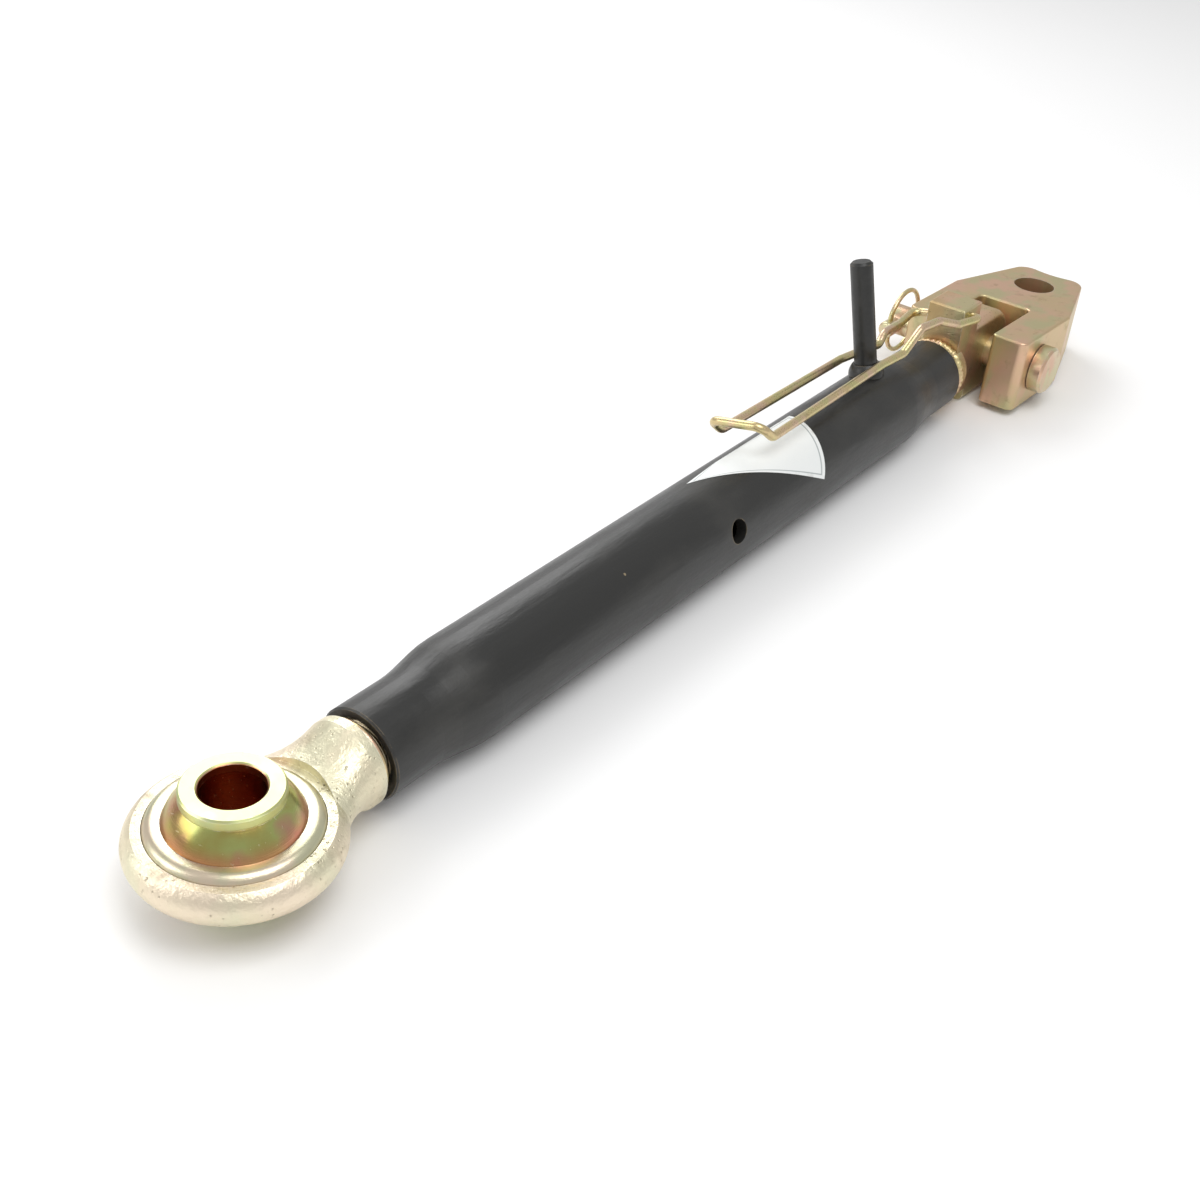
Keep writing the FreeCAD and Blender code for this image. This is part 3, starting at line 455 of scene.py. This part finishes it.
# ------------------------------------------------------------------ surfaces from numbers
@dataclass
class Surface:
    """A grid of points, rows by columns, that becomes a mesh of quads."""

    name: str
    points: np.ndarray
    wrap_rows: bool = False
    wrap_columns: bool = False
    close_ends: bool = False
    smooth: bool = True
    flat_map: bool = False

    def build(self) -> bpy.types.Object:
        """Make the mesh object.

        Quad (i, j) joins points (i, j), (i, j+1), (i+1, j+1) and (i+1, j), with the last row
        or column joined to the first where it wraps. Closed ends are fans of one polygon.

        Returns:
            The object, at the origin.
        """
        rows, columns = self.points.shape[:2]
        row = np.arange(rows if self.wrap_rows else rows - 1)
        column = np.arange(columns if self.wrap_columns else columns - 1)
        i, j = np.meshgrid(row, column, indexing="ij")
        after_i, after_j = (i + 1) % rows, (j + 1) % columns
        quads = np.stack([i * columns + j, i * columns + after_j,
                          after_i * columns + after_j, after_i * columns + j], axis=-1)
        faces = quads.reshape(-1, 4).tolist()
        if self.close_ends:
            faces.append(list(range(columns))[::-1])
            faces.append(list(range((rows - 1) * columns, rows * columns)))
        mesh = bpy.data.meshes.new(self.name)
        mesh.from_pydata(self.points.reshape(-1, 3).tolist(), [], faces)
        mesh.polygons.foreach_set("use_smooth", np.full(len(mesh.polygons), self.smooth))
        if self.flat_map:
            self._map(mesh, rows, columns)
        mesh.update()
        made = bpy.data.objects.new(self.name, mesh)
        bpy.context.scene.collection.objects.link(made)
        return made

    def _map(self, mesh: bpy.types.Mesh, rows: int, columns: int) -> None:
        """Add a map named flat, whose u runs over the columns and v over the rows."""
        corner = np.empty(len(mesh.loops), dtype=np.int64)
        mesh.loops.foreach_get("vertex_index", corner)
        u = (corner % columns) / (columns - 1)
        v = (corner // columns) / (rows - 1)
        layer = mesh.uv_layers.new(name="flat")
        layer.data.foreach_set("uv", np.stack([u, v], axis=-1).ravel())


def smooth_random(rng: np.random.Generator, angle: np.ndarray, waves: int,
                  first: int = 3) -> np.ndarray:
    """A wave round a ring: a sum of sines of whole numbers of turns with random phases.

    Args:
        rng: the seeded source of the phases.
        angle: angles in radians.
        waves: how many sines are added.
        first: the fewest turns.

    Returns:
        Values of about -1 to 1, one for each angle.
    """
    turns = np.arange(first, first + waves)
    phases = rng.uniform(0.0, 2.0 * np.pi, waves)
    sizes = rng.uniform(0.4, 1.0, waves)
    waves_at = np.sin(angle[..., None] * turns + phases) * sizes
    return waves_at.sum(axis=-1) / sizes.sum()


@dataclass
class ThreadedRod:
    """A screw along X with a 60 degree thread."""

    name: str
    start: float
    end: float
    crest: float
    pitch: float = 3.5 * MM
    depth: float = 1.9 * MM
    hand: int = 1
    around: int = 48
    steps: int = 8

    def build(self) -> bpy.types.Object:
        """The rod as radius over angle and length.

        The radius at angle a and distance x is the crest less the depth times a rounded
        triangle wave of (x / pitch - hand * a / one turn), and it falls to the root at both
        ends, where flat discs close the rod.

        Returns:
            The rod.
        """
        count = int((self.end - self.start) / self.pitch * self.steps)
        x = np.linspace(self.start, self.end, count)
        a = np.linspace(0.0, 2.0 * np.pi, self.around, endpoint=False)
        grid_x, grid_a = np.meshgrid(x, a, indexing="ij")
        turn = grid_x / self.pitch - self.hand * grid_a / (2.0 * np.pi)
        wave = np.abs((turn % 1.0) * 2.0 - 1.0)
        wave = np.clip(wave * 1.25 - 0.125, 0.0, 1.0)
        radius = self.crest - self.depth * wave
        inward = np.minimum(grid_x - self.start, self.end - grid_x) / (1.5 * MM)
        radius = np.minimum(radius, self.crest - self.depth * (1.0 - np.clip(inward, 0.0, 1.0)))
        points = np.stack([grid_x, radius * np.cos(grid_a), radius * np.sin(grid_a)], axis=-1)
        return Surface(self.name, points, wrap_columns=True, close_ends=True).build()


@dataclass
class WeldBead:
    """A hand-laid weld bead round a shaft, as a closed tube of uneven ripples."""

    name: str
    seed: int
    foot: float
    height: float
    width: float
    ripple: float = 0.16
    around: int = 180
    across: int = 14

    def ring(self, at: Callable[[np.ndarray, np.ndarray, np.ndarray], np.ndarray]
             ) -> bpy.types.Object:
        """Carry the bead's half-round profile round the shaft.

        The profile at angle t across the bead is width / 2 * cos t along it and
        height * sin t above its foot; both swell and shrink with slow random waves, and
        overlapping ripples are a sawtooth of the angle round the shaft.

        Args:
            at: turns angle, distance along and radius into points.

        Returns:
            The bead.
        """
        rng = np.random.default_rng(self.seed)
        a = np.linspace(0.0, 2.0 * np.pi, self.around, endpoint=False)
        t = np.linspace(0.0, 2.0 * np.pi, self.across, endpoint=False)
        grid_a, grid_t = np.meshgrid(a, t, indexing="ij")
        swell = 1.0 + 0.16 * smooth_random(rng, grid_a, 9, 2)
        scales = (grid_a / (2.0 * np.pi) * 34.0 + 0.35 * np.cos(grid_t)) % 1.0
        rough = self.ripple * (scales - 0.5) + 0.10 * smooth_random(rng, grid_a * 3, 12, 6)
        above = np.clip(np.sin(grid_t), 0.0, 1.0) ** 0.8
        radius = self.foot + self.height * above * np.clip(swell + rough, 0.5, 1.12)
        radius -= 0.3 * MM * (np.sin(grid_t) < 0)
        along = self.width / 2.0 * np.cos(grid_t) * np.clip(swell, 0.8, 1.1)
        return Surface(self.name, at(grid_a, along, radius), wrap_rows=True,
                       wrap_columns=True).build()


# ------------------------------------------------------------------ sub-assemblies
@dataclass
class Barrel:
    """The painted barrel with its handle, weld and label."""

    roll: float = math.radians(13.0)
    label_lift: float = 0.12 * MM
    label_corners: tuple[tuple[float, float], ...] = (
        (0.3867, -79.0), (0.3020, 17.0), (0.3320, 24.0), (0.4030, 24.0))
    radius: float = field(init=False)
    middle: float = field(init=False)

    def __post_init__(self) -> None:
        """Read the barrel's size from its node."""
        low, high = corners("barrel_tube")
        self.radius = float(high[1] - low[1]) / 2.0
        self.middle = float(high[0] + low[0]) / 2.0

    def paint(self) -> bpy.types.Material:
        """The black paint with its chips on the barrel."""
        chips = []
        for x, degrees, radius in ((0.112, -23.0, 0.0009), (0.221, -38.0, 0.0008)):
            angle = math.radians(degrees)
            chips.append((x, self.radius * math.sin(angle), self.radius * math.cos(angle), radius))
        return BlackPaint(chips=tuple(chips)).material()

    def label(self) -> bpy.types.Object:
        """The film label, laid round the barrel.

        The label is a bilinear patch over (distance along the barrel, angle from the top),
        with its four corners given, on a cylinder a film's thickness outside the barrel.

        Returns:
            The label.
        """
        u = np.linspace(0.0, 1.0, 61)
        v = np.linspace(0.0, 1.0, 41)
        grid_v, grid_u = np.meshgrid(v, u, indexing="ij")
        a, b, c, d = (np.array(corner) for corner in self.label_corners)
        spot = ((1 - grid_u)[..., None] * ((1 - grid_v)[..., None] * a + grid_v[..., None] * d)
                + grid_u[..., None] * ((1 - grid_v)[..., None] * b + grid_v[..., None] * c))
        x, angle = spot[..., 0], np.radians(spot[..., 1])
        r = self.radius + self.label_lift
        points = np.stack([x, r * np.sin(angle), r * np.cos(angle)], axis=-1)
        return Surface("barrel_label", points, flat_map=True).build()

    def build(self) -> None:
        """Dress the barrel, handle and weld, and lay the label."""
        paint = self.paint()
        for node in ("barrel_tube", "handle_bar", "handle_weld"):
            dress(frame["nodes"][node], paint)
        label = self.label()
        dress(label, LabelFilm().material())
        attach(label, "barrel")
        LOG.info("barrel: label laid at radius %.4f", self.radius)


@dataclass
class BallEnd:
    """The forged eye with its race, ball, screw and weld."""

    def build(self) -> None:
        """Dress the ball end's nodes and cut its thread."""
        dress(frame["nodes"]["eye_forging"], Plating.FORGED.value.material())
        dress(frame["nodes"]["ball_race"], Plating.RACE.value.material())
        dress(frame["nodes"]["swivel_ball"], BallPlate().material())
        weld = Plating.WELD.value.material()
        dress(frame["nodes"]["ball_end_weld"], weld)
        low, high = corners("eye_screw")
        rod = ThreadedRod("eye_screw_thread", float(low[0]), float(high[0]),
                          float(high[2])).build()
        dress(rod, Plating.PIN.value.material())
        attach(rod, "ball_end")
        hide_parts("eye_screw")
        LOG.info("ball end: right-hand thread of %d faces", len(rod.data.polygons))


@dataclass
class Knuckle:
    """The knuckle: screw, block, clevis head, pins, ring and bail."""

    def build(self) -> None:
        """Dress the knuckle's nodes and cut its left-hand thread."""
        pin = Plating.PIN.value.material()
        weld = Plating.WELD.value.material()
        wire = Plating.WIRE.value.material()
        machined = Plating.MACHINED.value.material()
        dress(frame["nodes"]["knuckle_block"], Plating.BLOCK.value.material())
        dress(frame["nodes"]["knuckle_head"], machined)
        dress(frame["nodes"]["hinge_pin"], pin)
        dress(frame["nodes"]["linch_pin"], pin)
        dress(frame["nodes"]["linch_ring"], wire)
        dress(frame["nodes"]["lock_bail"], wire)
        low, high = corners("knuckle_screw")
        rod = ThreadedRod("knuckle_screw_thread", float(low[0]), float(high[0]),
                          float(high[2]), hand=-1).build()
        dress(rod, pin)
        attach(rod, "knuckle")
        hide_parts("knuckle_screw")
        low, high = corners("knuckle_weld")
        bead = WeldBead("knuckle_weld_bead", 7, 15.0 * MM, float(high[2]) - 15.0 * MM,
                        float(high[0] - low[0]))
        middle = float(low[0] + high[0]) / 2.0
        made = bead.ring(lambda a, along, r: np.stack(
            [middle + along, r * np.cos(a), r * np.sin(a)], axis=-1))
        dress(made, weld)
        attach(made, "knuckle")
        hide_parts("knuckle_weld")
        LOG.info("knuckle: dressed")


@dataclass
class Studio:
    """Camera, lamps, world and floor."""

    eye: tuple[float, float, float] = (-0.301035, -0.364182, 0.426159)
    heading: float = 0.607
    fall: float = 0.595
    roll: float = 0.084
    lens: float = 49.32
    shift: tuple[float, float] = (0.0024, 0.0046)

    def camera(self) -> None:
        """Place the camera: look along the heading, fall below level, then roll."""
        data = bpy.data.cameras.new("camera")
        data.lens = self.lens
        data.sensor_width = 36.0
        data.shift_x, data.shift_y = self.shift
        data.clip_start = 0.01
        camera = bpy.data.objects.new("camera", data)
        ahead = Vector((math.cos(self.fall) * math.cos(self.heading),
                        math.cos(self.fall) * math.sin(self.heading), -math.sin(self.fall)))
        right = ahead.cross(Vector((0, 0, 1))).normalized()
        up = right.cross(ahead)
        tilted_right = math.cos(self.roll) * right + math.sin(self.roll) * up
        tilted_up = math.cos(self.roll) * up - math.sin(self.roll) * right
        turn = Matrix((tilted_right, tilted_up, -ahead)).transposed().to_4x4()
        camera.matrix_world = Matrix.Translation(Vector(self.eye)) @ turn
        bpy.context.scene.collection.objects.link(camera)
        bpy.context.scene.camera = camera

    def lamp(self, name: str, place: Colour, aim: Colour, size: float, power: float) -> None:
        """One soft square lamp aimed at a point."""
        data = bpy.data.lights.new(name, "AREA")
        data.shape = "SQUARE"
        data.size = size
        data.energy = power
        made = bpy.data.objects.new(name, data)
        turn = (Vector(aim) - Vector(place)).to_track_quat("-Z", "Y")
        made.matrix_world = Matrix.Translation(Vector(place)) @ turn.to_matrix().to_4x4()
        bpy.context.scene.collection.objects.link(made)

    def build(self) -> None:
        """Set up the view, the lamps, the world and the floor."""
        scene = bpy.context.scene
        scene.view_settings.view_transform = "Standard"
        self.camera()
        aim = (0.35, 0.0, 0.0)
        self.lamp("key", (0.1, -0.5, 1.3), aim, 0.9, 9.0)
        self.lamp("back", (0.9, 1.0, 0.9), aim, 0.9, 8.0)
        self.lamp("left", (-0.7, 0.7, 0.6), aim, 0.7, 4.0)
        self._world(scene)
        self._floor()

    @staticmethod
    def _world(scene: bpy.types.Scene) -> None:
        """An even pale sky, full white where the camera sees it straight and dimmer in the light
        and reflections it gives.
        """
        world = bpy.data.worlds.new("studio")
        world.use_nodes = True
        scene.world = world
        tree = world.node_tree
        tree.nodes.clear()
        out = tree.nodes.new("ShaderNodeOutputWorld")
        back = tree.nodes.new("ShaderNodeBackground")
        path = tree.nodes.new("ShaderNodeLightPath")
        level = tree.nodes.new("ShaderNodeMapRange")
        level.inputs[3].default_value = 0.62
        level.inputs[4].default_value = 1.0
        tree.links.new(path.outputs["Is Camera Ray"], level.inputs[0])
        tree.links.new(level.outputs[0], back.inputs["Strength"])
        back.inputs["Color"].default_value = (1.0, 1.0, 1.0, 1.0)
        tree.links.new(back.outputs[0], out.inputs[0])

    @staticmethod
    def _floor() -> None:
        """A wide pale sheet under the link."""
        low = min(float(corners(node)[0][2]) for node in frame["nodes"])
        reach = 4.0
        grid = np.array([[(-reach, -reach, low), (reach, -reach, low)],
                         [(-reach, reach, low), (reach, reach, low)]])
        floor = Surface("floor", grid).build()
        s = Shader("floor_white")
        dress(floor, s.finish(Base_Color=(0.93, 0.93, 0.93), Roughness=0.6,
                              Specular_IOR_Level=0.2))


def main() -> None:
    """Build the studio and each sub-assembly in order."""
    logging.basicConfig(level=logging.INFO, format="%(name)s: %(message)s")
    Studio().build()
    for part in (Barrel(), BallEnd(), Knuckle()):
        part.build()


if __name__ == "__main__":
    main()
